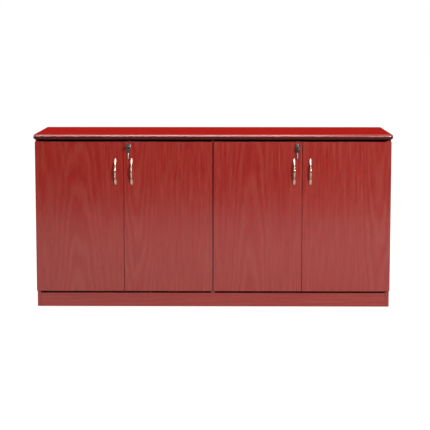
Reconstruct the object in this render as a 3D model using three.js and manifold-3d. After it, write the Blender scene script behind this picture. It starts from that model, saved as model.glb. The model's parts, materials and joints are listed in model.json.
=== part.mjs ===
// Office credenza: a low cabinet of mahogany-veneered board with two pairs of locking doors.
// Millimetres, +Z up, doors facing -Y. The origin is on the floor, midway along the width
// and the depth of the top.
import * as THREE from "three";
import { mergeVertices } from "three/addons/utils/BufferGeometryUtils.js";
import Module from "manifold-3d";

const wasm = await Module();
wasm.setup();

// Driving dimensions: the top
const TOP_WIDTH = 1600;
const TOP_DEPTH = 400;
const TOP_THICKNESS = 25;
const NOSE_RADIUS = 11;
const TOP_CORNER_RADIUS = 15;
const OVERALL_HEIGHT = 785;
const NOSE_FACETS = 5;
const CORNER_FACETS = 3;

// Driving dimensions: the carcass
const BOARD = 16;
const SIDE_OVERHANG = 6;
const NOSE_OVERHANG = 15;
const PLINTH_HEIGHT = 62;
const PLINTH_THICKNESS = 16;
const BOTTOM_SETBACK = 10;
const BACK_THICKNESS = 5;
const BACK_LAP = 8;

// Driving dimensions: shelves and their pins
const SHELF_SURFACE = 420;
const SHELF_THICKNESS = 16;
const SHELF_SETBACK = 30;
const SHELF_PLAY = 2;
const SHELF_PIN_RADIUS = 2.5;
const SHELF_PIN_SUNK = 7;
const SHELF_PIN_PROUD = 9;
const SHELF_PIN_COLLAR = 4;
const SHELF_PIN_COLLAR_THICKNESS = 1.2;
const SHELF_PIN_INSET = 45;
const SHELF_HOLE_PITCH = 32;
const SHELF_HOLES_EACH_WAY = 2;
const SHELF_PIN_SIDES = 8;

// Driving dimensions: the doors
const DOOR_THICKNESS = 18;
const DOOR_STANDOFF = 3;
const DOOR_TOP_GAP = 10;
const DOOR_FLOOR_GAP = 75;
const MEETING_GAP = 2;
const CENTRE_GAP = 6;

// Driving dimensions: the cup hinges
const HINGE_INSET = 100;
const CUP_RADIUS = 17.5;
const CUP_WALL = 0.9;
const CUP_EDGE = 4;
const CUP_SKIN = 3.3;
const CUP_FLANGE = 1.2;
const CUP_RIM = 1.5;
const CUP_EAR_OFFSET = 9.5;
const CUP_EAR_WIDTH = 11;
const CUP_EAR_SPAN = 58;
const HINGE_PIN_RADIUS = 1.2;
const HINGE_PIN_INSET = 8.2;
const EYE_WALL = 0.7;
const FINGER_THICKNESS = 2.4;
const FINGER_WIDTH = 10;
const FINGER_KNEE = 22;
const ARM_WIDTH = 14;
const ARM_SETBACK = 5;
const ARM_LENGTH = 58;
const WING_SETBACK = 37;
const WING_DEPTH = 18;
const WING_SPAN = 52;
const WING_THICKNESS = 2;

// Driving dimensions: the pulls
const PULL_LENGTH = 121;
const PULL_CENTRES = 96;
const PULL_PROUD = 32;
const PULL_FOOT_RADIUS = 4;
const PULL_LEAF_RADIUS = 7.5;
const PULL_NECK_RADIUS = 3.2;
const PULL_BEAD_RADIUS = 4.6;
const PULL_BAR_RADIUS = 5.5;
const PULL_LEAF_SPAN = 91;
const PULL_BEAD_SPAN = 47;
const PULL_TIP_SEAT = 3.6;
const PULL_BOW_EASE = 1.3;
const PULL_LEAF_FLATNESS = 0.55;
const PULL_EDGE = 35;
const PULL_DROP = 133;
const PULL_RINGS = 32;
const PULL_SIDES = 8;

// Driving dimensions: the locks and keys
const LOCK_EDGE = 21;
const LOCK_DROP = 20;
const LOCK_RIM_RADIUS = 11.5;
const LOCK_RIM_THICKNESS = 2;
const BARREL_RADIUS = 9.2;
const PLUG_RADIUS = 6.5;
const CASE_WIDTH = 38;
const CASE_DEPTH = 12;
const CASE_WALL = 1.5;
const CASE_BELOW = 15;
const CASE_HEADROOM = 2;
const BOLT_WIDTH = 18;
const BOLT_THICKNESS = 5;
const BOLT_THROW = 9;
const BOLT_TAIL = 3;
const CRANK_PIN_RADIUS = 1.5;
const YOKE_PLAY = 1.05;
const STRIKE_MARGIN = 10;
const STRIKE_THICKNESS = 1.5;
const STRIKE_PLAY = 1.2;
const BLADE_WIDTH = 8;
const BLADE_THICKNESS = 2;
const BLADE_LENGTH = 15;
const KEY_NECK_RADIUS = 3;
const KEY_NECK_LENGTH = 11;
const KEY_BOW_LENGTH = 24;
const KEY_BOW_WIDTH = 20;
const KEY_BOW_THICKNESS = 3.5;
const KEY_BOW_FACETS = 7;
const KEY_SHOULDER = 2;
const KEY_REST_TURN = Math.PI / 4;
const KEY_HOLE_RADIUS = 3.6;
const KEY_HOLE_MARGIN = 2.3;
const KEY_HOLE_SLACK = 1.4;
const RING_RADIUS = 8.8;
const RING_WIRE_RADIUS = 0.8;
const RING_WIRE_SIDES = 6;
const SPARE_BOW_WIDTH = 17;
const SPARE_BOW_LENGTH = 20;
const SPARE_BLADE_LENGTH = 26;
const SPARE_BLADE_WIDTH = 7;
const SPARE_TURN = Math.PI / 4;

// Clearance between pieces that touch, how far a cut runs past a face, and the roundness of curved faces
const FIT = 0.3;
const PAST = 5;
const WELD = 1e-4;
const COARSE_SIDES = 12;
const FINE_SIDES = 20;

// Planes and lines that the pieces share
const topUnderside = OVERALL_HEIGHT - TOP_THICKNESS;
const bodyHalf = TOP_WIDTH / 2 - SIDE_OVERHANG;
const bayOuter = bodyHalf - BOARD;
const bayInner = BOARD / 2;
const backPlane = TOP_DEPTH / 2;
const doorFront = -TOP_DEPTH / 2 + NOSE_OVERHANG;
const carcassFront = doorFront + DOOR_THICKNESS + DOOR_STANDOFF;
const backFront = backPlane - BACK_THICKNESS;
const bottomUnderside = PLINTH_HEIGHT + FIT;
const shelfUnderside = SHELF_SURFACE - SHELF_THICKNESS;
const shelfFront = carcassFront + SHELF_SETBACK;
const shelfBack = backFront - SHELF_PLAY;
const shelfPinDepths = [shelfFront + SHELF_PIN_INSET, shelfBack - SHELF_PIN_INSET];
const shelfPinHeight = shelfUnderside - FIT - SHELF_PIN_RADIUS;
const doorTop = topUnderside - DOOR_TOP_GAP;
const doorWidth = (bodyHalf - CENTRE_GAP / 2 - MEETING_GAP) / 2;
const hingeHeights = { upper: doorTop - HINGE_INSET, lower: DOOR_FLOOR_GAP + HINGE_INSET };

// Materials
const finish = (color, roughness, metalness) =>
  new THREE.MeshStandardMaterial({ color, roughness, metalness });
const veneer = finish(0x942a25, 0.35, 0);
const topVeneer = finish(0xa8302a, 0.3, 0);
const hardboard = finish(0x6e2f22, 0.7, 0);
const nickel = finish(0xb9b6b0, 0.3, 1);
const champagne = finish(0xd8b7a6, 0.25, 1);
const zinc = finish(0x8f9194, 0.45, 1);
const steel = finish(0xc6c8cb, 0.3, 1);
const blackPlastic = finish(0x141414, 0.5, 0);

// A closed geometry as a solid that can be joined and cut.
function solidOf(geometry) {
  const loose = geometry.index ? geometry.toNonIndexed() : geometry;
  const bare = new THREE.BufferGeometry().setAttribute("position", loose.getAttribute("position"));
  const merged = mergeVertices(bare, WELD);
  return new wasm.Manifold(
    new wasm.Mesh({
      numProp: 3,
      vertProperties: merged.attributes.position.array,
      triVerts: new Uint32Array(merged.index.array),
    }),
  );
}

function geometryOf(solid) {
  const { vertProperties, triVerts } = solid.getMesh();
  return new THREE.BufferGeometry()
    .setAttribute("position", new THREE.BufferAttribute(vertProperties, 3))
    .setIndex(new THREE.BufferAttribute(triVerts, 1));
}

function join(first, ...others) {
  return geometryOf(others.reduce((whole, other) => whole.add(solidOf(other)), solidOf(first)));
}

function cut(first, ...tools) {
  return geometryOf(tools.reduce((left, tool) => left.subtract(solidOf(tool)), solidOf(first)));
}

function common(first, second) {
  return geometryOf(solidOf(first).intersect(solidOf(second)));
}

// A box between two values on each axis.
function block([x0, x1], [y0, y1], [z0, z1]) {
  const middle = [(x0 + x1) / 2, (y0 + y1) / 2, (z0 + z1) / 2];
  return new THREE.BoxGeometry(x1 - x0, y1 - y0, z1 - z0).translate(...middle);
}

const about = (middle, span) => [middle - span / 2, middle + span / 2];

// Round bars along each axis, from one value to another, through the given point across it.
function barX(radius, [x0, x1], y, z, sides = COARSE_SIDES) {
  return new THREE.CylinderGeometry(radius, radius, x1 - x0, sides)
    .rotateZ(Math.PI / 2)
    .translate((x0 + x1) / 2, y, z);
}

function barY(radius, [y0, y1], x, z, sides = COARSE_SIDES) {
  return new THREE.CylinderGeometry(radius, radius, y1 - y0, sides).translate(x, (y0 + y1) / 2, z);
}

function barZ(radius, [z0, z1], x, y, sides = COARSE_SIDES) {
  return new THREE.CylinderGeometry(radius, radius, z1 - z0, sides)
    .rotateX(Math.PI / 2)
    .translate(x, y, (z0 + z1) / 2);
}

const credenza = new THREE.Group();

function add(group, name, geometry, material) {
  const mesh = new THREE.Mesh(geometry, material);
  mesh.name = name;
  group.add(mesh);
  return mesh;
}

// A group whose X runs from a vertical line at x, to the right or, mirrored, to the left.
function handed(x, y, hand) {
  const group = new THREE.Group();
  group.position.set(x, y, 0);
  group.scale.x = hand;
  credenza.add(group);
  return group;
}

// Lock positions and depths, in a door's own frame: X from the hinge edge, Y from the front face.
const lock = {
  x: doorWidth - LOCK_EDGE,
  z: doorTop - LOCK_DROP,
  caseFront: DOOR_THICKNESS + FIT,
  caseTop: topUnderside - CASE_HEADROOM,
};
lock.caseBack = lock.caseFront + CASE_DEPTH;
lock.caseBottom = lock.z - CASE_BELOW;
lock.bolt = [lock.caseBack - CASE_WALL - FIT - BOLT_THICKNESS, lock.caseBack - CASE_WALL - FIT];
lock.plugBack = lock.bolt[0] - FIT;
lock.rim = [-FIT - LOCK_RIM_THICKNESS, -FIT];
lock.yokeZ = lock.z - BOLT_THROW / 2;
lock.boltDepth = doorFront + (lock.bolt[0] + lock.bolt[1]) / 2;
lock.strike = {
  x: [about(0, BOLT_WIDTH + 2 * STRIKE_MARGIN), about(0, BOLT_WIDTH + STRIKE_PLAY)],
  y: [
    about(lock.boltDepth, BOLT_THICKNESS + STRIKE_MARGIN),
    about(lock.boltDepth, BOLT_THICKNESS + STRIKE_PLAY),
  ],
  centre: CENTRE_GAP / 2 + lock.x,
};

// The hinge cup, its pin and the eye on that pin, in the same frame.
const cup = {
  x: CUP_EDGE + CUP_RADIUS,
  bottom: CUP_SKIN + FIT,
  eyeRadius: HINGE_PIN_RADIUS + FIT + EYE_WALL,
};
cup.pinDepth = cup.bottom + CUP_WALL + FIT + cup.eyeRadius;

// The key in the lock and the ring on its neck, in the same frame.
const spareReach =
  (SPARE_BOW_WIDTH * Math.sin(SPARE_TURN) + KEY_BOW_THICKNESS * Math.cos(SPARE_TURN)) / 2;
const key = {
  neckBack: lock.rim[0] - FIT,
  ringDepth: lock.rim[0] - 2 * FIT - spareReach,
  ringHeight: lock.z + KEY_NECK_RADIUS + FIT + RING_WIRE_RADIUS - RING_RADIUS,
};
key.bowBack = key.neckBack - KEY_NECK_LENGTH;
key.ringBottom = key.ringHeight + RING_WIRE_RADIUS - RING_RADIUS;

const shifted = ([low, high], by) => [low + by, high + by];
const grown = ([low, high], by) => [low - by, high + by];

// The top: a board with a rounded nose on its front and ends, and a square back edge.
function topPanel() {
  const insetX = TOP_WIDTH / 2 - NOSE_RADIUS;
  const insetFront = -TOP_DEPTH / 2 + NOSE_RADIUS;
  const overrun = backPlane + PAST + NOSE_RADIUS;
  const corner = TOP_CORNER_RADIUS - NOSE_RADIUS;
  const outline = new THREE.Shape();
  outline.moveTo(insetX, overrun);
  outline.lineTo(-insetX, overrun);
  outline.absarc(-insetX + corner, insetFront + corner, corner, Math.PI, 1.5 * Math.PI);
  outline.absarc(insetX - corner, insetFront + corner, corner, 1.5 * Math.PI, 2 * Math.PI);
  const board = new THREE.ExtrudeGeometry(outline, {
    depth: TOP_THICKNESS - 2 * NOSE_RADIUS,
    bevelThickness: NOSE_RADIUS,
    bevelSize: NOSE_RADIUS,
    bevelSegments: NOSE_FACETS,
    curveSegments: CORNER_FACETS,
  }).translate(0, 0, topUnderside + NOSE_RADIUS);
  const behind = block(
    about(0, 2 * TOP_WIDTH),
    [backPlane, overrun + 2 * NOSE_RADIUS],
    grown([topUnderside, OVERALL_HEIGHT], PAST),
  );
  const sockets = [-1, 1].flatMap((side) => {
    const at = side * lock.strike.centre;
    const plate = block(
      grown(shifted(lock.strike.x[0], at), FIT),
      grown(lock.strike.y[0], FIT),
      [topUnderside - PAST, topUnderside + STRIKE_THICKNESS + FIT],
    );
    const mortise = block(
      shifted(lock.strike.x[1], at),
      lock.strike.y[1],
      [topUnderside, topUnderside + BOLT_THROW],
    );
    return [plate, mortise];
  });
  add(credenza, "top_panel", cut(board, behind, ...sockets), topVeneer);
}

// Holes for the shelf pins: a short row above and below the shelf, into one face of an upright.
function shelfPinHoles(face, towards) {
  const deep = [face - towards * (SHELF_PIN_SUNK + FIT), face + towards * PAST].sort((a, b) => a - b);
  const rows = Array.from({ length: 2 * SHELF_HOLES_EACH_WAY + 1 }, (_, row) => row - SHELF_HOLES_EACH_WAY);
  return shelfPinDepths.flatMap((y) =>
    rows.map((row) => {
      const z = shelfPinHeight + row * SHELF_HOLE_PITCH;
      return barX(SHELF_PIN_RADIUS + FIT, deep, y, z, SHELF_PIN_SIDES);
    }),
  );
}

function uprights() {
  const tall = [0, topUnderside - FIT];
  const deep = [carcassFront, backPlane];
  for (const [side, hand] of [["left", -1], ["right", 1]]) {
    const group = handed(0, 0, hand);
    const panel = block([bayOuter, bodyHalf], deep, tall);
    const rebate = block(
      [bayOuter - PAST, bayOuter + BACK_LAP + FIT],
      [backFront - FIT, backPlane + PAST],
      [bottomUnderside - FIT, OVERALL_HEIGHT],
    );
    add(group, `${side}_end_panel`, cut(panel, rebate, ...shelfPinHoles(bayOuter, -1)), veneer);
  }
  const partition = block([-bayInner, bayInner], [carcassFront, backFront - FIT], tall);
  const notchTop = PLINTH_HEIGHT + FIT;
  const frontNotch = block(
    grown([-bayInner, bayInner], PAST),
    [carcassFront - PAST, carcassFront + PLINTH_THICKNESS + FIT],
    [-PAST, notchTop],
  );
  const rearNotch = block(
    grown([-bayInner, bayInner], PAST),
    [backFront - PLINTH_THICKNESS - 2 * FIT, backPlane],
    [-PAST, notchTop],
  );
  const holes = [...shelfPinHoles(bayInner, 1), ...shelfPinHoles(-bayInner, -1)];
  add(credenza, "centre_partition", cut(partition, frontNotch, rearNotch, ...holes), veneer);
}

function plinths() {
  const wide = grown([-bayOuter, bayOuter], -FIT);
  const front = block(wide, [carcassFront, carcassFront + PLINTH_THICKNESS], [0, PLINTH_HEIGHT]);
  add(credenza, "front_plinth", front, veneer);
  const rear = block(wide, shifted([-PLINTH_THICKNESS, 0], backFront - FIT), [0, PLINTH_HEIGHT]);
  add(credenza, "rear_plinth", rear, veneer);
}

// The boards of each bay: its bottom, its back and its loose shelf on four pins.
function bays() {
  const inside = grown([bayInner, bayOuter], -FIT);
  for (const [side, hand] of [["left", -1], ["right", 1]]) {
    const group = handed(0, 0, hand);
    const bottom = block(
      inside,
      [carcassFront + BOTTOM_SETBACK, backFront - FIT],
      shifted([0, BOARD], bottomUnderside),
    );
    add(group, `${side}_bottom_panel`, bottom, veneer);
    const back = block(
      [FIT, bayOuter + BACK_LAP],
      [backFront, backPlane],
      [bottomUnderside, topUnderside - FIT],
    );
    add(group, `${side}_back_panel`, back, hardboard);
    const shelf = block(
      grown([bayInner, bayOuter], -SHELF_PLAY),
      [shelfFront, shelfBack],
      [shelfUnderside, SHELF_SURFACE],
    );
    add(group, `${side}_shelf`, shelf, veneer);
    for (const [row, depth] of [["front", shelfPinDepths[0]], ["rear", shelfPinDepths[1]]]) {
      const stands = { outer: [bayOuter, Math.PI], inner: [bayInner, 0] };
      for (const [place, [face, turn]] of Object.entries(stands)) {
        const pin = add(group, `${side}_shelf_${row}_${place}_pin`, shelfPin(), nickel);
        pin.position.set(face, depth, shelfPinHeight);
        pin.rotation.z = turn;
      }
    }
  }
}

// A shelf pin along +X: its shank is sunk in the upright behind X = 0.
function shelfPin() {
  const shank = barX(SHELF_PIN_RADIUS, [-SHELF_PIN_SUNK, SHELF_PIN_PROUD], 0, 0, SHELF_PIN_SIDES);
  const collar = barX(SHELF_PIN_COLLAR, shifted([0, SHELF_PIN_COLLAR_THICKNESS], FIT), 0, 0, SHELF_PIN_SIDES);
  return join(shank, collar);
}

// Strike plates under the top, slotted for the lock bolts.
function strikePlates() {
  for (const [side, hand] of [["left", -1], ["right", 1]]) {
    const group = handed(hand * lock.strike.centre, 0, hand);
    const plate = block(lock.strike.x[0], lock.strike.y[0], shifted([0, STRIKE_THICKNESS], topUnderside));
    const slot = block(lock.strike.x[1], lock.strike.y[1], grown([topUnderside, OVERALL_HEIGHT], PAST));
    add(group, `${side}_strike_plate`, cut(plate, slot), zinc);
  }
}

// A hinge cup let into the back of a door, with its screw flange and the pin that the arm turns on.
function hingeCup(z) {
  const mouth = DOOR_THICKNESS + FIT;
  const shell = barY(CUP_RADIUS, [cup.bottom, mouth + CUP_FLANGE], cup.x, z, FINE_SIDES);
  const rim = barY(CUP_RADIUS + CUP_RIM, [mouth, mouth + CUP_FLANGE], cup.x, z, FINE_SIDES);
  const ears = block(
    about(cup.x + CUP_EAR_OFFSET, CUP_EAR_WIDTH),
    [mouth, mouth + CUP_FLANGE],
    about(z, CUP_EAR_SPAN),
  );
  const hollow = barY(CUP_RADIUS - CUP_WALL, [cup.bottom + CUP_WALL, mouth + PAST], cup.x, z, FINE_SIDES);
  const pin = barZ(HINGE_PIN_RADIUS, about(z, 2 * CUP_RADIUS), HINGE_PIN_INSET, cup.pinDepth);
  return join(cut(join(shell, rim, ears), hollow), common(pin, shell));
}

// A hinge arm on the upright: a wing plate, a channel, and a cranked finger that ends in the pin's eye.
function hingeArm(z, uprightFace) {
  const base = uprightFace + FIT;
  const front = DOOR_THICKNESS + DOOR_STANDOFF;
  const across = about(z, FINGER_WIDTH);
  const fingerBack = [FINGER_KNEE, FINGER_KNEE + FINGER_THICKNESS];
  const eye = barZ(cup.eyeRadius, across, HINGE_PIN_INSET, cup.pinDepth);
  const reach = block([HINGE_PIN_INSET, fingerBack[1]], about(cup.pinDepth, FINGER_THICKNESS), across);
  const bore = barZ(HINGE_PIN_RADIUS + FIT, grown(across, PAST), HINGE_PIN_INSET, cup.pinDepth);
  const leg = block(fingerBack, [cup.pinDepth - FINGER_THICKNESS / 2, front + ARM_SETBACK + PAST], across);
  const channel = block(
    [base, fingerBack[1]],
    shifted([ARM_SETBACK, ARM_SETBACK + ARM_LENGTH], front),
    about(z, ARM_WIDTH),
  );
  const wing = block(
    [base, base + WING_THICKNESS],
    about(front + WING_SETBACK, WING_DEPTH),
    about(z, WING_SPAN),
  );
  return join(cut(join(eye, reach), bore), leg, channel, wing);
}

// A pull: a turned bar with a flattened leaf at each end, bowed so that the leaves lean back to the door.
function pullGeometry() {
  const tip = PULL_LENGTH / 2;
  const bead = PULL_BEAD_SPAN / 2;
  const leaf = PULL_LEAF_SPAN / 2;
  const half = [
    [PULL_BAR_RADIUS, 0],
    [PULL_NECK_RADIUS, bead - PULL_BEAD_RADIUS],
    [PULL_BEAD_RADIUS, bead],
    [PULL_NECK_RADIUS, bead + PULL_BEAD_RADIUS],
    [PULL_LEAF_RADIUS, leaf],
    [0, tip],
  ].map(([radius, height]) => new THREE.Vector2(radius, height));
  const mirrored = half.slice(1).map(({ x, y }) => new THREE.Vector2(x, -y));
  const outline = new THREE.SplineCurve([...mirrored.reverse(), ...half]).getPoints(PULL_RINGS);
  const turned = new THREE.LatheGeometry(outline, PULL_SIDES).rotateX(Math.PI / 2);
  const rise = PULL_PROUD - PULL_BAR_RADIUS - PULL_TIP_SEAT;
  const seat = (along) => {
    const eased = (Math.abs(along) / tip) ** PULL_BOW_EASE;
    return PULL_TIP_SEAT + (rise * (1 + Math.cos(Math.PI * eased))) / 2;
  };
  const points = turned.getAttribute("position");
  for (let i = 0; i < points.count; i += 1) {
    const along = Math.abs(points.getZ(i));
    const flattened = THREE.MathUtils.smoothstep(along, bead + PULL_BEAD_RADIUS, leaf);
    const depth = THREE.MathUtils.lerp(1, PULL_LEAF_FLATNESS, flattened);
    points.setY(i, points.getY(i) * depth - seat(along));
  }
  const foot = PULL_CENTRES / 2;
  const feet = [-foot, foot].map((z) => barY(PULL_FOOT_RADIUS, [-seat(z), -FIT], 0, z));
  return join(turned, ...feet);
}

// The lock's barrel: a bright rim on the door's face and a sleeve through the door for the plug.
function lockBarrel() {
  const rim = barY(LOCK_RIM_RADIUS, lock.rim, lock.x, lock.z, FINE_SIDES);
  const sleeve = barY(BARREL_RADIUS, [lock.rim[0], lock.caseFront + CASE_WALL], lock.x, lock.z, FINE_SIDES);
  const through = [-PAST - DOOR_THICKNESS, 2 * DOOR_THICKNESS];
  const bore = barY(PLUG_RADIUS + FIT, through, lock.x, lock.z, FINE_SIDES);
  return cut(join(rim, sleeve), bore);
}

// The case behind the door: open against the door, with a slot in its head for the bolt.
function lockCase() {
  const wide = about(lock.x, CASE_WIDTH);
  const tall = [lock.caseBottom, lock.caseTop];
  const shell = block(wide, [lock.caseFront, lock.caseBack], tall);
  const hollow = block(grown(wide, -CASE_WALL), [0, lock.caseBack - CASE_WALL], grown(tall, -CASE_WALL));
  const slot = block(
    grown(about(lock.x, BOLT_WIDTH), FIT),
    grown(lock.bolt, FIT),
    [lock.z, lock.caseTop + PAST],
  );
  return cut(shell, hollow, slot);
}

// The plug that the key turns, with its keyway and, at its back, the crank pin that lifts the bolt.
function lockPlug(turn) {
  const body = barY(PLUG_RADIUS, [lock.rim[0], lock.plugBack], lock.x, lock.z, FINE_SIDES);
  const keyway = block(
    grown(about(0, BLADE_WIDTH), FIT),
    [lock.rim[0] - PAST, lock.rim[0] + BLADE_LENGTH + FIT],
    grown(about(0, BLADE_THICKNESS), FIT),
  )
    .rotateY(turn)
    .translate(lock.x, 0, lock.z);
  const crankLength = [lock.rim[0] + BLADE_LENGTH + PAST, lock.bolt[1] - FIT];
  const crank = barY(CRANK_PIN_RADIUS, crankLength, lock.x, lock.yokeZ);
  return join(cut(body, keyway), crank);
}

// The sliding bolt, with a cross slot that the crank pin works in.
function lockBolt() {
  const yokeHalf = CRANK_PIN_RADIUS + YOKE_PLAY;
  const bar = block(
    about(lock.x, BOLT_WIDTH),
    lock.bolt,
    [lock.yokeZ - yokeHalf - BOLT_TAIL, lock.caseTop - FIT],
  );
  const yoke = block(
    about(lock.x, BOLT_THROW + 2 * CRANK_PIN_RADIUS + 2 * FIT),
    grown(lock.bolt, PAST),
    about(lock.yokeZ, 2 * yokeHalf),
  );
  return cut(bar, yoke);
}

// An oval key bow standing in the XZ plane, with a ring hole near its upper end.
function keyBow(length, width) {
  const outline = new THREE.Shape().absellipse(0, 0, width / 2, length / 2, 0, 2 * Math.PI);
  const hole = new THREE.Path();
  hole.absarc(0, length / 2 - KEY_HOLE_MARGIN - KEY_HOLE_RADIUS, KEY_HOLE_RADIUS, 0, 2 * Math.PI, true);
  outline.holes.push(hole);
  return new THREE.ExtrudeGeometry(outline, {
    depth: KEY_BOW_THICKNESS,
    bevelEnabled: false,
    curveSegments: KEY_BOW_FACETS,
  })
    .translate(0, 0, -KEY_BOW_THICKNESS / 2)
    .rotateX(Math.PI / 2);
}

// The key in the lock: blade, round neck and bow, along the plug's axis and turned about it.
function lockKey(turn) {
  const blade = block(
    about(0, BLADE_WIDTH),
    [key.neckBack - KEY_SHOULDER, lock.rim[0] + BLADE_LENGTH],
    about(0, BLADE_THICKNESS),
  );
  const neck = barY(KEY_NECK_RADIUS, [key.bowBack - KEY_SHOULDER, key.neckBack], 0, 0);
  const bow = keyBow(KEY_BOW_LENGTH, KEY_BOW_WIDTH)
    .rotateX(Math.PI / 2)
    .translate(0, key.bowBack - KEY_BOW_LENGTH / 2, 0);
  return join(blade, neck, bow).rotateY(turn).translate(lock.x, 0, lock.z);
}

// The ring that hangs on the neck of the key in the lock.
function keyRing() {
  return new THREE.TorusGeometry(RING_RADIUS, RING_WIRE_RADIUS, RING_WIRE_SIDES, FINE_SIDES)
    .rotateX(Math.PI / 2)
    .translate(lock.x, key.ringDepth, key.ringHeight);
}

// The spare key, hung on the ring by its bow and turned partly edge-on to the door.
function spareKey() {
  const bowTop = key.ringBottom + KEY_HOLE_SLACK + KEY_HOLE_MARGIN;
  const bowBottom = bowTop - SPARE_BOW_LENGTH;
  const bow = keyBow(SPARE_BOW_LENGTH, SPARE_BOW_WIDTH).translate(0, 0, (bowTop + bowBottom) / 2);
  const blade = block(
    about(0, SPARE_BLADE_WIDTH),
    about(0, BLADE_THICKNESS),
    [bowBottom - SPARE_BLADE_LENGTH, bowBottom + KEY_SHOULDER],
  );
  return join(bow, blade).rotateZ(SPARE_TURN).translate(lock.x, key.ringDepth, 0);
}

// Both keys stand with their bows leaning the same way, so the turn is undone by the mirrored door.
function addLock(group, side, hand) {
  const turn = -hand * KEY_REST_TURN;
  add(group, `${side}_lock_barrel`, lockBarrel(), nickel);
  add(group, `${side}_lock_case`, lockCase(), zinc);
  add(group, `${side}_lock_plug`, lockPlug(turn), nickel);
  add(group, `${side}_lock_bolt`, lockBolt(), steel);
  add(group, `${side}_lock_key`, lockKey(turn), blackPlastic);
  add(group, `${side}_key_ring`, keyRing(), steel);
  add(group, `${side}_spare_key`, spareKey(), blackPlastic);
}

function lockHole() {
  return barY(BARREL_RADIUS + FIT, [-PAST, DOOR_THICKNESS + PAST], lock.x, lock.z, FINE_SIDES);
}

// Each door hangs from a hinge edge, with its upright's face at a distance behind that edge.
function doors() {
  const innerFace = (BOARD - CENTRE_GAP) / 2;
  const leaves = [
    { name: "left_outer", hand: 1, edge: -bodyHalf, uprightFace: BOARD },
    { name: "left_inner", hand: -1, edge: -CENTRE_GAP / 2, uprightFace: innerFace, lockSide: "left" },
    { name: "right_inner", hand: 1, edge: CENTRE_GAP / 2, uprightFace: innerFace, lockSide: "right" },
    { name: "right_outer", hand: -1, edge: bodyHalf, uprightFace: BOARD },
  ];
  for (const { name, hand, edge, uprightFace, lockSide } of leaves) {
    const group = handed(edge, doorFront, hand);
    const board = block([0, doorWidth], [0, DOOR_THICKNESS], [DOOR_FLOOR_GAP, doorTop]);
    const bores = Object.values(hingeHeights).map((z) =>
      barY(CUP_RADIUS + FIT, [CUP_SKIN, DOOR_THICKNESS + PAST], cup.x, z, FINE_SIDES),
    );
    const holes = lockSide ? [...bores, lockHole()] : bores;
    add(group, `${name}_door`, cut(board, ...holes), veneer);
    for (const [place, z] of Object.entries(hingeHeights)) {
      add(group, `${name}_${place}_hinge_cup`, hingeCup(z), nickel);
      add(group, `${name}_${place}_hinge_arm`, hingeArm(z, uprightFace), nickel);
    }
    const pull = add(group, `${name}_pull`, pullGeometry(), champagne);
    pull.position.set(doorWidth - PULL_EDGE, 0, doorTop - PULL_DROP);
    if (lockSide) addLock(group, lockSide, hand);
  }
}

topPanel();
uprights();
plinths();
bays();
strikePlates();
doors();

export default credenza;
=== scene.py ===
"""Looks of the office credenza: veneered boards, plated pulls, locks, keys and hinges on the frame."""

import json
import math

import bmesh
import bpy
from mathutils import Matrix, Vector


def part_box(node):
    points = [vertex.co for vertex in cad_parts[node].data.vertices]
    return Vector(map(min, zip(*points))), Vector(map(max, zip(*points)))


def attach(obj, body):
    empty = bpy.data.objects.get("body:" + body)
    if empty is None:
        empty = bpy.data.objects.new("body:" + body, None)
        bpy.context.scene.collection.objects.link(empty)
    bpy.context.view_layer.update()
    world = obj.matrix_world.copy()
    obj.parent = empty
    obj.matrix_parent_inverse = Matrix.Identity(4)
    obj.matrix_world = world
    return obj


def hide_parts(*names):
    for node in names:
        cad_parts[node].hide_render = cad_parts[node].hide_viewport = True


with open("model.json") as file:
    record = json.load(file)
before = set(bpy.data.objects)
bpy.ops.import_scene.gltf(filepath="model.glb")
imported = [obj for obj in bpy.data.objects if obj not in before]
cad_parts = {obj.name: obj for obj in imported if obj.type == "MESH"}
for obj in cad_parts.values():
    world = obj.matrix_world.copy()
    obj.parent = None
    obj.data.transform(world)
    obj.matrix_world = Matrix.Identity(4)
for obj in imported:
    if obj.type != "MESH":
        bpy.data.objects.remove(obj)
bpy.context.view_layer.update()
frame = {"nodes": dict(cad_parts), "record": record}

MM = 0.001
WELD = 0.01 * MM
PAIRS = ("left", "right")
LEAVES = ("left_outer", "left_inner", "right_inner", "right_outer")
HINGE_PLACES = ("upper", "lower")

# The upright that carries each leaf, and the way its face looks along X
UPRIGHTS = {
    "left_outer": ("left_end_panel", 1), "left_inner": ("centre_partition", -1),
    "right_inner": ("centre_partition", 1), "right_outer": ("right_end_panel", -1),
}

# Camera, at the photograph's viewpoint
CAMERA_PLACE = (0.0567, -5.492, 1.2486)
CAMERA_PITCH = math.radians(5.78)
CAMERA_YAW = math.radians(0.514)
CAMERA_LENS = 100.36
CAMERA_SENSOR = 36
CAMERA_SHIFT = -0.15
CAMERA_SIGHT = 60

# Floor and room: metres, then light levels
FLOOR_REACH = 40.0
FLOOR_FADE = (2.0, 5.0)
FLOOR_WHITE = 0.3
FLOOR_GLOW = 0.82
WORLD_LEVEL = 0.1

# Lamps: place, width, depth and watts
LAMP_AIM = (0, 0, 0.4)
TOP_LIGHT = ((0, 1.6, 3.6), 5.0, 2.5, 128)
FRONT_LIGHT = ((0, -2.6, 3.3), 1.7, 0.6, 26)
GLEAM_LIGHT = ((-0.3, -2.6, 3.3), 2.4, 1.1, 50)
STRIP_LIGHT = ((-0.5, -5.2, 1.95), 3.2, 0.12, 34)
SIDE_LIGHT = ((-4.0, 0.5, 1.6), 2.0, 1.5, 70)
KEY_LIGHT = ((2.2, -5.0, 2.2), 0.4, 0.4, 272)

# Dark screens: place, size and whether they stand upright
FLOOR_FLAG = ((0, -6.8, 0.02), (12, 8), False)
BACK_FLAG = ((0, 1.2, 1.5), (8, 2.6), True)
FRONT_FLAG = ((0, -6.5, 2.6), (14, 5.2), True)
FLAG_GREY = 0.02

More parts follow.
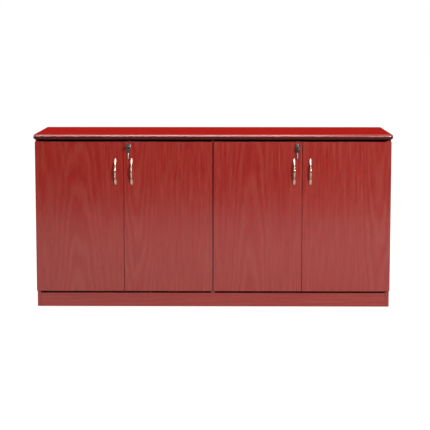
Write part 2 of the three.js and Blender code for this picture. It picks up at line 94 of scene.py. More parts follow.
# Veneer tones, linear: deep, middle and pale
REDS = ((0.274, 0.012, 0.009), (0.290, 0.022, 0.0145), (0.304, 0.036, 0.023))
EDGE_REDS = ((0.25, 0.015, 0.010), (0.28, 0.020, 0.012), (0.30, 0.026, 0.015))
# The darkest tones are painted shade, for the top's level and down-facing faces and the bottom panels'
# front edges
PAINTED_SHADE_REDS = ((0.050, 0.004, 0.003), (0.058, 0.006, 0.004), (0.065, 0.008, 0.005))
TOP_REDS = ((0.36, 0.010, 0.008), (0.41, 0.013, 0.010), (0.45, 0.018, 0.013))

# Grain of the veneer: how fine it is, across and along the grain, by the metre
STREAKS = (110, 1.1)
FLECKS = (420, 26)
PORES = (1500, 60)
RINGS = 22
RING_STRETCH = 0.3
FIGURE_ACROSS = 8
FIGURE_ALONG_DOOR = 0.6
FIGURE_ALONG_BOARD = 0.3

# How far arrises and corners are rounded
BOARD_EASE = 0.8 * MM
TOP_EASE = 0.5 * MM
DOOR_EASE = 0.6 * MM
BACK_EASE = 0.4 * MM
METAL_EASE = 0.25 * MM
HINGE_EASE = 0.2 * MM
PLUG_EASE = 0.2 * MM
CASE_EASE = 0.5 * MM
BOLT_EASE = 0.3 * MM
KEY_HEAD_EASE = 0.7 * MM
KEY_BLADE_EASE = 0.2 * MM

# How far up, or forward, a face looks where one finish meets the next, and where painted shade begins on
# the top and on the bottom panels' front edges
TOP_FACE = 0.8
NOSE_FACE = 0.05
FRONT_FACE = 0.3

# Turned profiles, as (radius, distance) in millimetres
PULL_HALF = (
    (5.4, 0), (5.3, 9), (4.2, 16), (3.4, 18.6), (4.4, 20), (5.4, 22.2), (5.4, 24.8), (4.4, 27), (3.3, 28.6),
    (3.2, 31), (4.2, 35), (6.6, 40.5), (7.6, 46), (6.6, 52), (4.0, 57.2), (1.6, 60), (0, 60.5),
)
BARREL = (
    (6.8, 19.8), (6.8, -1.7), (7.4, -2.3), (10.3, -2.3), (11.1, -1.9), (11.5, -1.2), (11.5, -0.3),
    (9.2, -0.3), (9.2, 19.8),
)
KEY_NECK = ((0, 0), (3.0, 0), (3.0, 9.6), (3.6, 10.4), (3.6, 13), (0, 13))

# Pulls, in millimetres from the middle and from the door
PULL_TIP = PULL_HALF[-1][1]
PULL_TIP_SEAT = 3.6
PULL_RISE = 22.9
PULL_BOW_EASE = 1.3
PULL_LEAF = (28.1, 45.5)
PULL_LEAF_FLATNESS = 0.55
PULL_FEET = 48
PULL_FOOT_RADIUS = 4
PULL_GAP = 0.3

# Keys, in millimetres: a head's length, width and thickness, its hole's radius and margin, and a blade's
# width and thickness
KEY_HEAD = (24, 25, 6)
SPARE_HEAD = (20, 17, 3.5)
KEY_HOLE = (3.6, 2.3)
HEAD_LAP = 2
KEY_BLADE = (8, 2)
SPARE_BLADE = (7, 2)
SPARE_TIP = 2
SPARE_CUTS = (0.4, 1.6, 0.8, 2.0, 1.2, 0.3)
SPARE_FIRST_CUT = 2.5
SPARE_CUT_PITCH = 3.2
RING_WIRE = 0.8

# Screws, in millimetres: the head, and how far the screws of a pair stand from their middle
SCREW_RADIUS = 3.4
SCREW_RIM = 0.7
SCREW_CROWN = 0.78 * SCREW_RADIUS
SCREW_HEIGHT = 1.6
RECESS_ARM = 1.9
RECESS_WEB = 0.5
RECESS_FLOOR = 0.6
CUP_SCREWS = 24
WING_SCREWS = 16
WING_BACK = 40
WING_PROUD = 2.3
CASE_SCREWS = 14
STRIKE_SCREWS = 14


# Nodes and materials

def node(tree, kind, inputs=(), **settings):
    """A shader node; an input is a number, a colour or another node's output."""
    made = tree.nodes.new(kind)
    for name, value in settings.items():
        setattr(made, name, value)
    for name, value in dict(inputs).items():
        if isinstance(value, bpy.types.NodeSocket):
            tree.links.new(value, made.inputs[name])
        else:
            made.inputs[name].default_value = value
    return made


def ramp(tree, value, *stops):
    """A colour ramp through (position, grey or colour) stops."""
    made = node(tree, "ShaderNodeValToRGB", {"Fac": value})
    elements = made.color_ramp.elements
    while len(elements) < len(stops):
        elements.new(0.5)
    for element, (position, colour) in zip(elements, stops):
        element.position = position
        element.color = (*colour, 1) if isinstance(colour, tuple) else (colour, colour, colour, 1)
    return made.outputs["Color"]


def mixed(tree, kind, factor, first, second):
    """Two colours blended by a factor."""
    made = node(tree, "ShaderNodeMix", {0: factor, 6: first, 7: second}, data_type="RGBA", blend_type=kind)
    return made.outputs[2]


def noise(tree, place, scale, detail):
    """Noise stretched by a scale on each axis."""
    spread = node(tree, "ShaderNodeMapping", {"Vector": place, "Scale": scale}).outputs[0]
    return node(tree, "ShaderNodeTexNoise", {"Vector": spread, "Scale": 1, "Detail": detail}).outputs["Fac"]


def bumped(tree, shader, height, strength, distance):
    """Gives a shader a relief from a height."""
    relief = node(tree, "ShaderNodeBump", {"Height": height, "Strength": strength, "Distance": distance})
    tree.links.new(relief.outputs[0], shader.inputs["Normal"])


def finish(name, **sockets):
    """A new principled material, its tree, its shader and its object coordinates."""
    material = bpy.data.materials.new(name)
    material.use_nodes = True
    tree = material.node_tree
    shader = tree.nodes["Principled BSDF"]
    for socket, value in sockets.items():
        shader.inputs[socket.replace("_", " ")].default_value = value
    return material, tree, shader, node(tree, "ShaderNodeTexCoord").outputs["Object"]


def veneer(name, grain, heart, tilt, tones=REDS, roughness=0.2, specular=0.55, coat=0.0):
    """Lacquered plain-sawn veneer, its grain along Z or X, with rings near a heart line that leans."""
    material, tree, shader, place = finish(
        name, Specular_IOR_Level=specular, Coat_Weight=coat, Coat_Roughness=0.12,
    )
    upright = grain == "Z"

    def grained(across, along):
        return (across, across, along) if upright else (along, across, across)

    lean = (tilt, 0, 0) if upright else (0, 0, tilt)
    log = node(tree, "ShaderNodeMapping", {"Vector": place, "Location": heart, "Rotation": lean}).outputs[0]
    drawn_out = {"Vector": log, "Scale": grained(1, RING_STRETCH)}
    long_log = node(tree, "ShaderNodeMapping", drawn_out).outputs[0]
    rings = node(
        tree, "ShaderNodeTexWave",
        {"Vector": long_log, "Scale": RINGS, "Distortion": 5, "Detail": 3, "Detail Scale": 0.8},
        wave_type="RINGS", rings_direction=grain,
    ).outputs["Fac"]
    if upright:
        figure_reach = (FIGURE_ACROSS, 0, FIGURE_ALONG_DOOR)
    else:
        figure_reach = (FIGURE_ALONG_BOARD, 0, FIGURE_ACROSS)
    near = node(tree, "ShaderNodeMapping", {"Vector": log, "Scale": figure_reach}).outputs[0]
    core = node(tree, "ShaderNodeTexGradient", {"Vector": near}, gradient_type="SPHERICAL").outputs["Fac"]
    streaks = noise(tree, log, grained(*STREAKS), 6)
    flecks = noise(tree, place, grained(*FLECKS), 2)
    pores = noise(tree, place, grained(*PORES), 2)
    deep, mid, pale = tones
    figure = ramp(tree, rings, (0.0, deep), (0.5, mid), (1.0, pale))
    ribbon = ramp(tree, streaks, (0.3, deep), (0.52, mid), (0.74, pale))
    body = mixed(tree, "MIX", ramp(tree, core, (0.0, 0.08), (0.6, 0.62)), ribbon, figure)
    flecked = mixed(tree, "MULTIPLY", 0.5, body, ramp(tree, flecks, (0.34, 0.7), (0.52, 1.0)))
    colour = mixed(tree, "MULTIPLY", 0.5, flecked, ramp(tree, pores, (0.36, 0.72), (0.5, 1.0)))
    tree.links.new(colour, shader.inputs["Base Color"])
    gloss = ramp(tree, streaks, (0.3, roughness * 0.88), (0.7, roughness * 1.12))
    tree.links.new(gloss, shader.inputs["Roughness"])
    bumped(tree, shader, pores, 0.04, 0.2 * MM)
    return material


def plated(name, colour, roughness, cloud=0.25):
    """Plated metal whose gloss varies a little over its surface."""
    material, tree, shader, place = finish(name, Base_Color=(*colour, 1), Metallic=1.0)
    haze = noise(tree, place, (220, 220, 220), 3)
    gloss = ramp(tree, haze, (0.35, roughness * (1 - cloud)), (0.65, roughness * (1 + cloud)))
    tree.links.new(gloss, shader.inputs["Roughness"])
    bumped(tree, shader, noise(tree, place, (2500, 2500, 160), 1), 0.03, 0.1 * MM)
    return material


def moulded_black():
    """Black moulded plastic with a fine spark-eroded texture."""
    material, tree, shader, place = finish("black_key_plastic", Roughness=0.4)
    grain = noise(tree, place, (2600, 2600, 2600), 2)
    tree.links.new(ramp(tree, grain, (0.3, 0.006), (0.7, 0.016)), shader.inputs["Base Color"])
    bumped(tree, shader, grain, 0.15, 0.1 * MM)
    return material


def stained_hardboard():
    """Stained hardboard with pressed fibres."""
    material, tree, shader, place = finish("stained_hardboard", Roughness=0.65)
    fibres = noise(tree, place, (700, 700, 700), 5)
    blotches = noise(tree, place, (9, 9, 9), 3)
    tone = ramp(tree, fibres, (0.3, (0.12, 0.03, 0.018)), (0.7, (0.2, 0.055, 0.032)))
    shade = ramp(tree, blotches, (0.3, 0.86), (0.7, 1.0))
    tree.links.new(mixed(tree, "MULTIPLY", 1.0, tone, shade), shader.inputs["Base Color"])
    bumped(tree, shader, fibres, 0.2, 0.2 * MM)
    return material


# Where the heart lines of the veneers lie, in metres, and how far they lean
DOOR_HEARTS = {
    "left_outer": ((0.60, 0.10, 0.0), math.radians(4)),
    "left_inner": ((0.34, 0.11, 0.0), math.radians(-4)),
    "right_inner": ((-0.17, 0.12, 0.0), math.radians(3)),
    "right_outer": ((-0.74, 0.105, 0.0), math.radians(-3)),
}
UPRIGHT_HEART = ((0.1, 0.05, 0), math.radians(3))
LEVEL_HEART = ((0, 0.1, 0.06), math.radians(2))
TOP_HEART = ((0, 0.08, -0.70), math.radians(2))

door_veneer = {leaf: veneer(f"{leaf}_door_veneer", "Z", *heart) for leaf, heart in DOOR_HEARTS.items()}
upright_veneer = veneer("upright_veneer", "Z", *UPRIGHT_HEART)
level_veneer = veneer("level_veneer", "X", *LEVEL_HEART)
top_veneer = veneer("top_veneer", "X", *TOP_HEART, TOP_REDS, roughness=0.4, specular=0.0, coat=0.12)
edge_veneer = veneer("edge_veneer", "X", *TOP_HEART, EDGE_REDS, roughness=0.16, specular=1.0)
# Painted shade: a darkened copy of the edge veneer
painted_shade_veneer = veneer("painted_shade_veneer", "X", *TOP_HEART, PAINTED_SHADE_REDS, roughness=0.4, specular=0.12)
champagne = plated("champagne_plate", (0.48, 0.29, 0.23), 0.2)
nickel = plated("nickel_plate", (0.72, 0.70, 0.67), 0.24)
# Painted dark reflection: nickel darkened to stand in for the dark surroundings that the lock rims and
# plugs reflect
nickel_painted_dark = plated("nickel_painted_dark_plate", (0.07, 0.06, 0.057), 0.2)
# Black plating kept this dark as painted shade, so the lock cases, bolts and strike plates in the gap under
# the top read as its shadow
zinc_blackened_as_shade = plated("zinc_blackened_as_shade_plate", (0.02, 0.02, 0.022), 0.5)
steel = plated("key_steel", (0.5, 0.49, 0.48), 0.25)
black_plastic = moulded_black()
hardboard = stained_hardboard()


# Meshes

def placed(bm, name, material):
    """Turns a bmesh into a smooth object of one finish."""
    mesh = bpy.data.meshes.new(name)
    bm.to_mesh(mesh)
    bm.free()
    mesh.shade_smooth()
    mesh.materials.append(material)
    made = bpy.data.objects.new(name, mesh)
    bpy.context.scene.collection.objects.link(made)
    return made


def piece(bm, name, body, material, slot, *nodes, sharp=math.radians(35)):
    """A finished piece that rides on a body and stands for the given nodes."""
    made = placed(bm, name, material)
    made.data.set_sharp_from_angle(angle=sharp)
    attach(made, body)
    if nodes:
        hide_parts(*nodes)
    return made


def body_of(node_name):
    """The body that a node belongs to."""
    bodies = frame["record"]["behaviour"]["bodies"]
    return next(body for body, members in bodies.items() if node_name in members)


def middle(node_name):
    """The middle of a node's box."""
    low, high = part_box(node_name)
    return (Vector(low) + Vector(high)) / 2


def copied(node_name):
    """A node's mesh, welded, with its flat faces whole."""
    bm = bmesh.new()
    bm.from_mesh(frame["nodes"][node_name].data)
    bmesh.ops.remove_doubles(bm, verts=bm.verts, dist=WELD)
    bmesh.ops.dissolve_limit(bm, angle_limit=math.radians(0.5), verts=bm.verts, edges=bm.edges)
    return bm


def eased(bm, edges, radius, segments=3):
    """Rounds the given edges."""
    bmesh.ops.bevel(
        bm, geom=edges, offset=radius, offset_type="OFFSET", affect="EDGES",
        segments=segments, profile=0.5, material=-1,
    )


def corners(bm, angle=40):
    """The edges between faces that turn by more than an angle in degrees."""
    shared = [edge for edge in bm.edges if len(edge.link_faces) == 2]
    return [edge for edge in shared if edge.calc_face_angle() > math.radians(angle)]


def raised_points(made):
    """The points of what an extrusion made."""
    return [part for part in made["geom"] if isinstance(part, bmesh.types.BMVert)]


def arrises(bm, low, high):
    """The edges that lie where two of the box's faces meet."""
    def on_two(edge):
        touching = 0
        for axis in range(3):
            for value in (low[axis], high[axis]):
                touching += all(abs(v.co[axis] - value) < 2 * WELD for v in edge.verts)
        return touching >= 2
    return [edge for edge in bm.edges if on_two(edge)]


def board(node_name, material, slot, radius=BOARD_EASE):
    """A board with eased arrises."""
    bm = copied(node_name)
    eased(bm, arrises(bm, *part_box(node_name)), radius)
    made = piece(bm, f"{node_name}_board", body_of(node_name), material, slot, node_name)
    made.modifiers.new("flat_faces", "WEIGHTED_NORMAL").keep_sharp = True
    return made


def metal(node_name, material, slot, radius=METAL_EASE):
    """A metal piece with its corners softened."""
    bm = copied(node_name)
    eased(bm, corners(bm), radius, segments=2)
    return piece(bm, f"{node_name}_metal", body_of(node_name), material, slot, node_name)


def turned(profile, steps, closed=False):
    """A profile of (radius, distance) points in millimetres, spun about Z."""
    bm = bmesh.new()
    points = [bm.verts.new((radius * MM, 0, distance * MM)) for radius, distance in profile]
    lines = [bm.edges.new(pair) for pair in zip(points, points[1:])]
    if closed:
        lines.append(bm.edges.new((points[-1], points[0])))
    bmesh.ops.spin(
        bm, geom=points + lines, cent=(0, 0, 0), axis=(0, 0, 1), dvec=(0, 0, 0),
        angle=2 * math.pi, steps=steps, use_merge=True,
    )
    bmesh.ops.remove_doubles(bm, verts=bm.verts, dist=WELD)
    bmesh.ops.recalc_face_normals(bm, faces=bm.faces)
    return bm


def both_ways(distance):
    """A distance in millimetres, one way and the other."""
    return (-distance * MM, distance * MM)


def carcass_boards():
    """The fixed boards; the top's nose has a glossier finish of its own, and painted shade darkens the
    top's level and down-facing faces, that is the nose from its middle down, the back edge and the
    underside, and the bottom panels' front edges.
    """
    top = board("top_panel", top_veneer, "mahogany_top", TOP_EASE)
    for material in (edge_veneer, painted_shade_veneer):
        top.data.materials.append(material)
    # The nose's upper curve takes the glossier edge veneer; faces that look level or down take the painted
    # shade
    for face in top.data.polygons:
        face.material_index = int(face.normal.z < TOP_FACE) + int(face.normal.z < NOSE_FACE)
    for name in ("left_end_panel", "right_end_panel", "centre_partition"):
        board(name, upright_veneer, "mahogany_veneer")
    for name in ("front_plinth", "rear_plinth", "left_shelf", "right_shelf"):
        board(name, level_veneer, "mahogany_veneer")
    for side in PAIRS:
        bottom = board(f"{side}_bottom_panel", level_veneer, "mahogany_veneer")
        # The bottom panels' front edges take painted shade, for the gap under the doors
        bottom.data.materials.append(painted_shade_veneer)
        for face in bottom.data.polygons:
            face.material_index = int(face.normal.y < -FRONT_FACE)
        board(f"{side}_back_panel", hardboard, "hardboard_back", BACK_EASE)


def door_boards():
    """The four doors, each with a veneer of its own."""
    for leaf in LEAVES:
        board(f"{leaf}_door", door_veneer[leaf], "mahogany_veneer", DOOR_EASE)


def pull_seat(along):
    """How far the pull's axis stands from the door, a distance along from its middle."""
    eased_along = (along / (PULL_TIP * MM)) ** PULL_BOW_EASE
    return (PULL_TIP_SEAT + PULL_RISE * (1 + math.cos(math.pi * eased_along)) / 2) * MM


def pulls():
    """Turned pulls: a flattened leaf, a bead and half the bar at each end, bowed out from the door."""
    whole = [(radius, -distance) for radius, distance in reversed(PULL_HALF[1:])] + list(PULL_HALF)
    for leaf in LEAVES:
        name = f"{leaf}_pull"
        foot_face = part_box(name)[1][1]
        centre = middle(name)
        bm = turned(whole, steps=12)
        for vert in bm.verts:
            along = min(abs(vert.co.z), PULL_TIP * MM)
            share = min(max((along / MM - PULL_LEAF[0]) / (PULL_LEAF[1] - PULL_LEAF[0]), 0), 1)
            flattened = share * share * (3 - 2 * share)
            vert.co.y = vert.co.y * (1 - (1 - PULL_LEAF_FLATNESS) * flattened) - pull_seat(along)
        bmesh.ops.translate(bm, verts=bm.verts, vec=(centre.x, foot_face + PULL_GAP * MM, centre.z))
        bar = piece(bm, f"{name}_bar", body_of(name), champagne, "champagne_metal", name, sharp=math.pi)
        rounding = bar.modifiers.new("rounding", "SUBSURF")
        rounding.levels = 2
        rounding.render_levels = 2
        posts = bmesh.new()
        depth = pull_seat(PULL_FEET * MM) - PULL_GAP * MM
        for end in both_ways(PULL_FEET):
            place = Vector((centre.x, foot_face - depth / 2, centre.z + end))
            bmesh.ops.create_cone(
                posts, cap_ends=True, segments=24, depth=depth,
                radius1=PULL_FOOT_RADIUS * MM, radius2=PULL_FOOT_RADIUS * MM,
                matrix=Matrix.Translation(place) @ Matrix.Rotation(math.pi / 2, 4, "X"),
            )
        piece(posts, f"{name}_posts", body_of(name), champagne, "champagne_metal")


def bow_of_key(length, width, thickness, hole_radius, hole_margin):
    """A moulded oval key head in the XZ plane, pierced near its upper end, with rounded edges."""
    bm = bmesh.new()
    outer = bmesh.ops.create_circle(bm, segments=40, radius=0.5)["verts"]
    bmesh.ops.scale(bm, verts=outer, vec=(width * MM, length * MM, 1))
    inner = bmesh.ops.create_circle(bm, segments=40, radius=hole_radius * MM)["verts"]
    bmesh.ops.translate(bm, verts=inner, vec=(0, (length / 2 - hole_margin - hole_radius) * MM, 0))
    plate = bmesh.ops.bridge_loops(bm, edges=bm.edges)["faces"]
    front = raised_points(bmesh.ops.extrude_face_region(bm, geom=plate))
    bmesh.ops.translate(bm, verts=front, vec=(0, 0, thickness * MM))
    bmesh.ops.translate(bm, verts=bm.verts, vec=(0, 0, -thickness / 2 * MM))
    bmesh.ops.recalc_face_normals(bm, faces=bm.faces)
    eased(bm, corners(bm, angle=60), KEY_HEAD_EASE)
    bmesh.ops.rotate(bm, verts=bm.verts, cent=(0, 0, 0), matrix=Matrix.Rotation(math.pi / 2, 3, "X"))
    return bm


def locks():
    """Each lock's turned barrel, its plug, case and bolt, and the strike plate under the top."""
    for side in PAIRS:
        axis = middle(f"{side}_lock_key")
        door_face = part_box(f"{side}_inner_door")[0][1]
        facing = Matrix.Translation((axis.x, door_face, axis.z)) @ Matrix.Rotation(-math.pi / 2, 4, "X")
        barrel = turned(BARREL, steps=48, closed=True)
        barrel.transform(facing)
        # The rim and plug are nickel darkened as a painted dark reflection
        piece(
            barrel, f"{side}_lock_rim", f"{side}_inner_leaf", nickel_painted_dark, "nickel_plate",
            f"{side}_lock_barrel",
        )
        metal(f"{side}_lock_plug", nickel_painted_dark, "nickel_plate", PLUG_EASE)
        # Case, bolt and strike plate in black plating that doubles as painted shade in the gap under the
        # top
        metal(f"{side}_lock_case", zinc_blackened_as_shade, "zinc_plate", CASE_EASE)
        metal(f"{side}_lock_bolt", zinc_blackened_as_shade, "key_steel", BOLT_EASE)
        metal(f"{side}_strike_plate", zinc_blackened_as_shade, "zinc_plate")


def keys():
    """The key in each lock, its ring and the spare."""
    head_length = KEY_HEAD[0]
    quarter_turn = Matrix.Rotation(math.pi / 2, 4, "X")
    for side in PAIRS:
        low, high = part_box(f"{side}_lock_key")
        axis = middle(f"{side}_lock_key")
        stand = Matrix.Translation((axis.x, 0, axis.z)) @ Matrix.Rotation(-math.pi / 4, 4, "Y")
        head = bow_of_key(*KEY_HEAD, *KEY_HOLE)
        head.transform(Matrix.Translation((0, low[1] + head_length / 2 * MM, 0)) @ quarter_turn)
        head.transform(stand)
        piece(head, f"{side}_key_head", f"{side}_key", black_plastic, "black_plastic", f"{side}_lock_key")
        shank = turned(KEY_NECK, steps=24)
        neck_start = low[1] + (head_length - HEAD_LAP) * MM
        shank.transform(Matrix.Translation((0, neck_start, 0)) @ quarter_turn.inverted())
        blade = bmesh.ops.create_cube(shank, size=1)["verts"]
        reach = high[1] - neck_start - KEY_NECK[-1][1] * MM
        width, thickness = KEY_BLADE
        bmesh.ops.scale(shank, verts=blade, vec=(width * MM, reach, thickness * MM))
        bmesh.ops.translate(shank, verts=blade, vec=(0, high[1] - reach / 2, 0))
        shank.transform(stand)
        piece(shank, f"{side}_key_shank", f"{side}_key", steel, "key_steel")
        key_ring(f"{side}_key_ring")
        spare_key(f"{side}_spare_key", -1 if side == "left" else 1)


def key_ring(name):
    """A wire ring that hangs on the key's neck."""
    low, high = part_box(name)
    radius = (high[2] - low[2]) / 2 / MM - RING_WIRE
    angles = [step * math.pi / 6 for step in range(12)]
    section = [(radius + RING_WIRE * math.cos(angle), RING_WIRE * math.sin(angle)) for angle in angles]
    loop = turned(section, steps=48, closed=True)
    loop.transform(Matrix.Translation(middle(name)) @ Matrix.Rotation(math.pi / 2, 4, "X"))
    piece(loop, f"{name}_wire", body_of(name), steel, "key_steel", name, sharp=math.pi)


def spare_key(name, hand):
    """The spare: a pierced head above a blade with cuts along one edge, hung partly edge-on."""
    low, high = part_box(name)
    centre = middle(name)
    hang = Matrix.Translation((centre.x, centre.y, 0)) @ Matrix.Rotation(hand * math.pi / 4, 4, "Z")
    head_length = SPARE_HEAD[0]
    head = bow_of_key(*SPARE_HEAD, *KEY_HOLE)
    bmesh.ops.translate(head, verts=head.verts, vec=(0, 0, high[2] - head_length / 2 * MM))
    head.transform(hang)
    piece(head, f"{name}_head", body_of(name), black_plastic, "black_plastic", name)
    tip = low[2]
    root = high[2] - (head_length - HEAD_LAP) * MM
    width, thickness = SPARE_BLADE
    edge = width / 2
    nose = edge - SPARE_TIP
    outline = [(-edge * MM, root), (-edge * MM, tip + SPARE_TIP * MM), (-nose * MM, tip), (nose * MM, tip)]
    for step, depth in enumerate(SPARE_CUTS):
        outline.append(((edge - depth) * MM, tip + (SPARE_FIRST_CUT + SPARE_CUT_PITCH * step) * MM))
    outline.append((edge * MM, root))
    blade = bmesh.new()
    flat = blade.faces.new([blade.verts.new((x, -thickness / 2 * MM, z)) for x, z in outline])
    front = raised_points(bmesh.ops.extrude_face_region(blade, geom=[flat]))
    bmesh.ops.translate(blade, verts=front, vec=(0, thickness * MM, 0))
    bmesh.ops.recalc_face_normals(blade, faces=blade.faces)
    eased(blade, corners(blade, angle=50), KEY_BLADE_EASE, segments=2)
    blade.transform(hang)
    piece(blade, f"{name}_blade", body_of(name), steel, "key_steel")


def fittings():
    """Hinges and shelf pins."""
    for leaf in LEAVES:
        for place in HINGE_PLACES:
            for part in ("hinge_cup", "hinge_arm"):
                metal(f"{leaf}_{place}_{part}", nickel, "nickel_plate", HINGE_EASE)
    for side in PAIRS:
        for row in ("front", "rear"):
            for end in ("outer", "inner"):
                metal(f"{side}_shelf_{row}_{end}_pin", nickel, "nickel_plate")


def screw_head():
    """A pan head with a cross recess, standing on the XY plane, as a mesh to copy."""
    bm = turned([(SCREW_RADIUS, 0), (SCREW_RADIUS, SCREW_RIM), (SCREW_CROWN, SCREW_HEIGHT)], steps=24)
    crown = [e for e in bm.edges if all(abs(v.co.z - SCREW_HEIGHT * MM) < WELD for v in e.verts)]
    foot = [e for e in bm.edges if all(abs(v.co.z) < WELD for v in e.verts)]
    cross = []
    for quarter in range(4):
        spin = Matrix.Rotation(quarter * math.pi / 2, 3, "Z")
        for x, y in ((RECESS_ARM, -RECESS_WEB), (RECESS_ARM, RECESS_WEB), (RECESS_WEB, RECESS_WEB)):
            cross.append(bm.verts.new(spin @ Vector((x, y, SCREW_HEIGHT)) * MM))
    outline = [bm.edges.new(pair) for pair in zip(cross, cross[1:] + cross[:1])]
    bmesh.ops.triangle_fill(bm, use_beauty=True, edges=crown + outline)
    bottom = raised_points(bmesh.ops.extrude_edge_only(bm, edges=outline))
    bmesh.ops.translate(bm, verts=bottom, vec=(0, 0, (RECESS_FLOOR - SCREW_HEIGHT) * MM))
    bmesh.ops.edgeloop_fill(bm, edges=[e for e in bm.edges if all(v in bottom for v in e.verts)])
    bmesh.ops.edgeloop_fill(bm, edges=foot)
    bmesh.ops.recalc_face_normals(bm, faces=bm.faces)
    mesh = bpy.data.meshes.new("screw_head")
    bm.to_mesh(mesh)
    bm.free()
    return mesh


def screws():
    """The heads of the screws that hold the hinges, pulls, locks and strike plates, joined on each body."""
    back, down = Vector((0, 1, 0)), Vector((0, 0, -1))
    spots = {}
    for leaf in LEAVES:
        on_leaf = spots.setdefault(f"{leaf}_leaf", [])
        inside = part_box(f"{leaf}_door")[1][1]
        pull = middle(f"{leaf}_pull")
        on_leaf.extend(((pull.x, inside, pull.z + end), back) for end in both_ways(PULL_FEET))
        upright, hand = UPRIGHTS[leaf]
        upright_low, upright_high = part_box(upright)
        wing = (upright_high if hand > 0 else upright_low)[0] + hand * WING_PROUD * MM
        wing_place = inside + WING_BACK * MM
        outward = Vector((hand, 0, 0))
        for place in HINGE_PLACES:
            cup = middle(f"{leaf}_{place}_hinge_cup")
            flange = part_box(f"{leaf}_{place}_hinge_cup")[1][1]
            on_leaf.extend(((cup.x, flange, cup.z + end), back) for end in both_ways(CUP_SCREWS))
            on_arm = [((wing, wing_place, cup.z + end), outward) for end in both_ways(WING_SCREWS)]
            spots.setdefault("carcass", []).extend(on_arm)
    for side in PAIRS:
        case = middle(f"{side}_lock_case")
        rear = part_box(f"{side}_lock_case")[1][1]
        on_case = [((case.x + end, rear, case.z - end), back) for end in both_ways(CASE_SCREWS)]
        spots[f"{side}_inner_leaf"].extend(on_case)
        strike = middle(f"{side}_strike_plate")
        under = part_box(f"{side}_strike_plate")[0][2]
        on_strike = [((strike.x + end, strike.y, under), down) for end in both_ways(STRIKE_SCREWS)]
        spots["carcass"].extend(on_strike)
    head = screw_head()
    for body, places in spots.items():
        bm = bmesh.new()
        for place, facing in places:
            count = len(bm.verts)
            bm.from_mesh(head)
            bm.verts.ensure_lookup_table()
            turn = facing.to_track_quat("Z", "Y").to_matrix().to_4x4()
            bmesh.ops.transform(bm, matrix=Matrix.Translation(place) @ turn, verts=bm.verts[count:])
        piece(bm, f"{body}_screws", body, nickel, "nickel_plate")
    bpy.data.meshes.remove(head)


carcass_boards()
door_boards()
pulls()
locks()
keys()
fittings()
screws()


# Studio: a white floor, soft light and the camera

def any_view(tree):
    """One where the camera sees a surface, straight or in a mirror or glass, and nought for its light."""
    path = node(tree, "ShaderNodeLightPath").outputs
    straight_or_mirrored = {0: path["Is Camera Ray"], 1: path["Is Glossy Ray"]}
    seen = node(tree, "ShaderNodeMath", straight_or_mirrored, operation="MAXIMUM").outputs[0]
    through = {0: seen, 1: path["Is Transmission Ray"]}
    return node(tree, "ShaderNodeMath", through, operation="MAXIMUM").outputs[0]


def studio_white():
    """A white floor that shows its shadow near the object and fades to plain white further off."""
    white = (FLOOR_WHITE, FLOOR_WHITE, FLOOR_WHITE, 1)
    material, tree, shader, place = finish(
        "studio_white", Base_Color=white, Roughness=0.9, Specular_IOR_Level=0, Emission_Color=(1, 1, 1, 1),
    )
    reach = node(tree, "ShaderNodeVectorMath", {0: place}, operation="LENGTH").outputs["Value"]
    near, far = FLOOR_FADE
    fade = {"Value": reach, "From Min": near, "From Max": far, "To Min": FLOOR_GLOW, "To Max": 1}
    level = node(tree, "ShaderNodeMapRange", fade).outputs["Result"]
    glow = node(tree, "ShaderNodeMath", {0: any_view(tree), 1: level}, operation="MULTIPLY")
    tree.links.new(glow.outputs[0], shader.inputs["Emission Strength"])
    return material


def set_piece(bm, name, material):
    """A piece of the studio."""
    made = placed(bm, name, material)
    return made


def floor():
    """A plain white floor that reaches out of sight."""
    bm = bmesh.new()
    bmesh.ops.create_grid(bm, x_segments=1, y_segments=1, size=FLOOR_REACH)
    set_piece(bm, "studio_floor", studio_white())


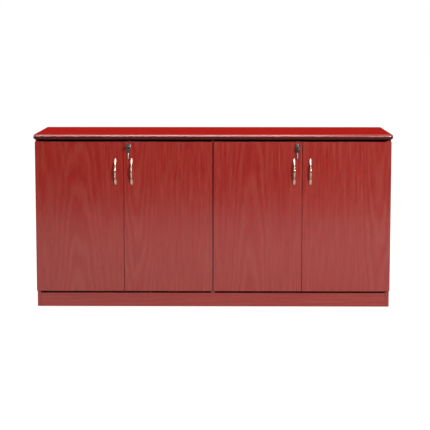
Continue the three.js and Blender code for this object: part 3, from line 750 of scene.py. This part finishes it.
def dark_flag(name, place, size, upright):
    """A dark screen that shows only in reflections."""
    bm = bmesh.new()
    turn = Matrix.Rotation(math.pi / 2, 4, "X") if upright else Matrix.Identity(4)
    spread = Matrix.Translation(place) @ turn @ Matrix.Diagonal((*size, 1, 1))
    bmesh.ops.create_grid(bm, x_segments=1, y_segments=1, size=0.5, matrix=spread)
    grey = (FLAG_GREY, FLAG_GREY, FLAG_GREY, 1)
    material = finish(name, Base_Color=grey, Roughness=1.0, Specular_IOR_Level=0)[0]
    flag = set_piece(bm, name, material)
    flag.visible_camera = False
    flag.visible_diffuse = False
    flag.visible_shadow = False
    flag.visible_transmission = False


def soft_box(name, place, width, depth, power, only_gleams=False):
    """A studio lamp, or one that shows only as a gleam in polished pieces."""
    lamp = bpy.data.lights.new(name, "AREA")
    lamp.shape = "RECTANGLE"
    lamp.size = width
    lamp.size_y = depth
    lamp.energy = power
    made = bpy.data.objects.new(name, lamp)
    made.location = place
    aim = Vector(LAMP_AIM) - Vector(place)
    made.rotation_euler = aim.to_track_quat("-Z", "Y").to_euler()
    made.visible_camera = False
    made.visible_diffuse = not only_gleams
    bpy.context.scene.collection.objects.link(made)


def room_light():
    """A white room to look at that gives the object only a little light."""
    world = bpy.data.worlds.new("studio_room")
    world.use_nodes = True
    tree = world.node_tree
    level = node(tree, "ShaderNodeMath", {0: any_view(tree), 1: WORLD_LEVEL}, operation="MAXIMUM")
    backdrop = tree.nodes["Background"]
    backdrop.inputs["Color"].default_value = (1, 1, 1, 1)
    tree.links.new(level.outputs[0], backdrop.inputs["Strength"])
    bpy.context.scene.world = world


def viewpoint():
    """The camera, where the photograph was taken from."""
    lens = bpy.data.cameras.new("photo_camera")
    lens.lens = CAMERA_LENS
    lens.sensor_width = CAMERA_SENSOR
    lens.shift_y = CAMERA_SHIFT
    lens.clip_end = CAMERA_SIGHT
    camera = bpy.data.objects.new("photo_camera", lens)
    camera.location = CAMERA_PLACE
    camera.rotation_euler = (math.pi / 2 - CAMERA_PITCH, 0, CAMERA_YAW)
    bpy.context.scene.collection.objects.link(camera)
    bpy.context.scene.camera = camera


floor()
dark_flag("floor_flag", *FLOOR_FLAG)
dark_flag("back_flag", *BACK_FLAG)
dark_flag("front_flag", *FRONT_FLAG)
soft_box("top_light", *TOP_LIGHT)
soft_box("front_light", *FRONT_LIGHT)
soft_box("gleam_light", *GLEAM_LIGHT, only_gleams=True)
soft_box("strip_light", *STRIP_LIGHT)
soft_box("side_light", *SIDE_LIGHT)
soft_box("key_light", *KEY_LIGHT)
room_light()
viewpoint()
bpy.context.scene.view_settings.view_transform = "Standard"
